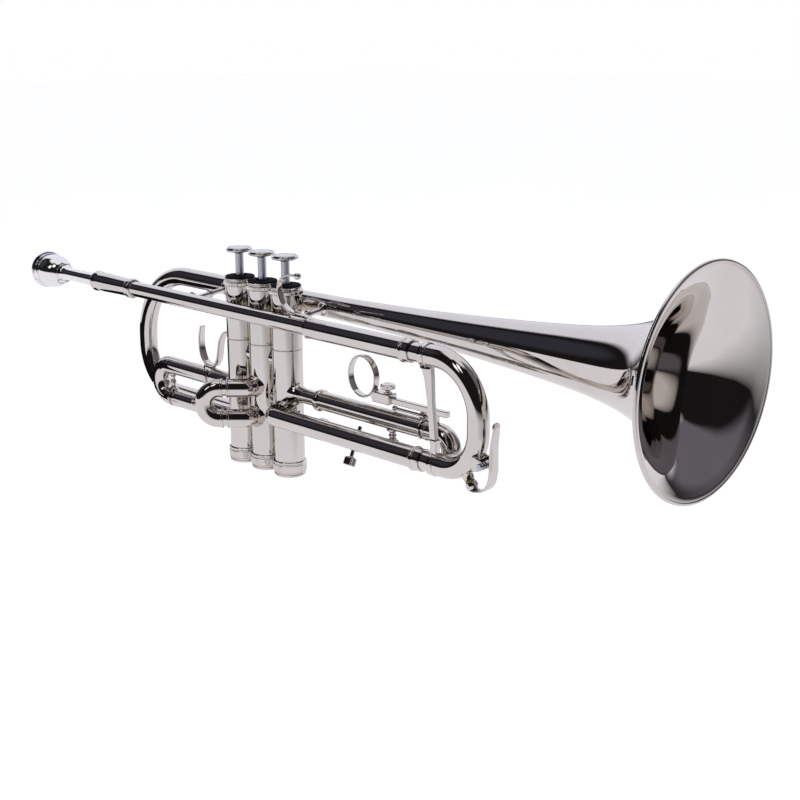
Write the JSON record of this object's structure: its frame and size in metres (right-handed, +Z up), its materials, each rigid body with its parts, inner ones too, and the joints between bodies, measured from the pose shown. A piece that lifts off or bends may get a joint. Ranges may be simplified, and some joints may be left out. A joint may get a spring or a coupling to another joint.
{
  "type": "trumpet",
  "caption": "Piston-valve trumpet with a flared bell, tuning slides, a mouthpiece, a water key and a finger ring.",
  "frame": {"origin": "middle valve's axis, at half the height of its casing", "axes": "+X from the mouthpiece towards the bell, parallel to the bell's axis; +Z up along the valves; +Y towards the player's left"},
  "size_m": [0.5457, 0.1236, 0.1716],
  "materials": {
    "nickel_plate": "polished nickel plate",
    "silver_plate": "polished silver plate",
    "stem_steel": "satin",
    "piston_metal": "fine ground",
    "pearl": "pearl",
    "cork": "natural cork"
  },
  "bodies": {
    "horn": {"mouthpiece_receiver": "nickel_plate", "leadpipe": "nickel_plate", "pinky_hook": "nickel_plate", "main_slide_upper_outer_tube": "nickel_plate", "main_slide_lower_outer_tube": "nickel_plate", "valve_1_casing": "nickel_plate", "valve_1_top_cap": "nickel_plate", "valve_1_bottom_cap": "nickel_plate", "valve_1_guide": "piston_metal", "valve_1_spring": "stem_steel", "valve_2_casing": "nickel_plate", "valve_2_top_cap": "nickel_plate", "valve_2_bottom_cap": "nickel_plate", "valve_2_guide": "piston_metal", "valve_2_spring": "stem_steel", "valve_3_casing": "nickel_plate", "valve_3_top_cap": "nickel_plate", "valve_3_bottom_cap": "nickel_plate", "valve_3_guide": "piston_metal", "valve_3_spring": "stem_steel", "bell": "nickel_plate", "bell_bow": "nickel_plate", "bell_bow_ferrule": "nickel_plate", "bell_brace_front": "nickel_plate", "bell_brace_rear": "nickel_plate", "first_slide_upper_outer_tube": "nickel_plate", "first_slide_lower_outer_tube": "nickel_plate", "second_slide_upper_outer_tube": "nickel_plate", "second_slide_lower_outer_tube": "nickel_plate", "third_slide_upper_outer_tube": "nickel_plate", "third_slide_lower_outer_tube": "nickel_plate", "third_slide_brace": "nickel_plate"},
    "mouthpiece": {"mouthpiece": "silver_plate"},
    "main_slide": {"main_slide_crook": "nickel_plate", "main_slide_brace": "nickel_plate", "water_key_saddle": "nickel_plate", "water_key_pin": "stem_steel", "water_key_spring": "stem_steel"},
    "water_key": {"water_key_lever": "nickel_plate", "water_key_cork": "cork"},
    "valve_1": {"valve_1_piston": "piston_metal", "valve_1_stem": "stem_steel", "valve_1_button": "nickel_plate", "valve_1_pearl": "pearl"},
    "valve_2": {"valve_2_piston": "piston_metal", "valve_2_stem": "stem_steel", "valve_2_button": "nickel_plate", "valve_2_pearl": "pearl"},
    "valve_3": {"valve_3_piston": "piston_metal", "valve_3_stem": "stem_steel", "valve_3_button": "nickel_plate", "valve_3_pearl": "pearl"},
    "first_slide": {"first_slide_crook": "nickel_plate", "thumb_saddle": "nickel_plate"},
    "second_slide": {"second_slide_crook": "nickel_plate"},
    "third_slide": {"third_slide_crook": "nickel_plate", "third_slide_rail": "nickel_plate"},
    "finger_ring": {"finger_ring": "nickel_plate"},
    "ring_clamp_screw": {"ring_clamp_screw": "nickel_plate"},
    "lyre_screw": {"lyre_screw": "nickel_plate"}
  },
  "joints": [
    {"name": "mouthpiece_pull", "type": "slide", "parent": "horn", "child": "mouthpiece", "axis": [-1, 0, 0], "range_m": [0, 0.02]},
    {"name": "main_slide_pull", "type": "slide", "parent": "horn", "child": "main_slide", "axis": [1, 0, 0], "range_m": [0, 0.045]},
    {"name": "water_key_hinge", "type": "hinge", "parent": "main_slide", "child": "water_key", "pos_m": [0.2059, -0.018, -0.0101], "axis": [0, -1, 0], "range_deg": [0, 10], "stiffness_Nm_per_rad": 0.4, "springref_deg": -17.19},
    {"name": "valve_1_press", "type": "slide", "parent": "horn", "child": "valve_1", "axis": [0, 0, -1], "range_m": [0, 0.015], "stiffness_N_per_m": 160, "springref_m": -0.01, "deforming": ["valve_1_spring"]},
    {"name": "valve_2_press", "type": "slide", "parent": "horn", "child": "valve_2", "axis": [0, 0, -1], "range_m": [0, 0.015], "stiffness_N_per_m": 160, "springref_m": -0.01, "deforming": ["valve_2_spring"]},
    {"name": "valve_3_press", "type": "slide", "parent": "horn", "child": "valve_3", "axis": [0, 0, -1], "range_m": [0, 0.015], "stiffness_N_per_m": 160, "springref_m": -0.01, "deforming": ["valve_3_spring"]},
    {"name": "first_slide_pull", "type": "slide", "parent": "horn", "child": "first_slide", "axis": [-1, 0, 0], "range_m": [0, 0.012]},
    {"name": "second_slide_pull", "type": "slide", "parent": "horn", "child": "second_slide", "axis": [-0.7071, -0.7071, 0], "range_m": [0, 0.006]},
    {"name": "third_slide_pull", "type": "slide", "parent": "horn", "child": "third_slide", "axis": [1, 0, 0], "range_m": [0, 0.02]},
    {"name": "finger_ring_slide", "type": "slide", "parent": "third_slide", "child": "finger_ring", "axis": [1, 0, 0], "range_m": [-0.01, 0.003]},
    {"name": "ring_clamp_turn", "type": "hinge", "parent": "finger_ring", "child": "ring_clamp_screw", "pos_m": [0.1126, 0, 0.01], "axis": [0, 0, 1], "continuous": true},
    {"name": "lyre_screw_turn", "type": "hinge", "parent": "horn", "child": "lyre_screw", "pos_m": [0.0927, -0.0082, -0.0259], "axis": [0, 0.4151, 0.9098], "continuous": true}
  ]
}
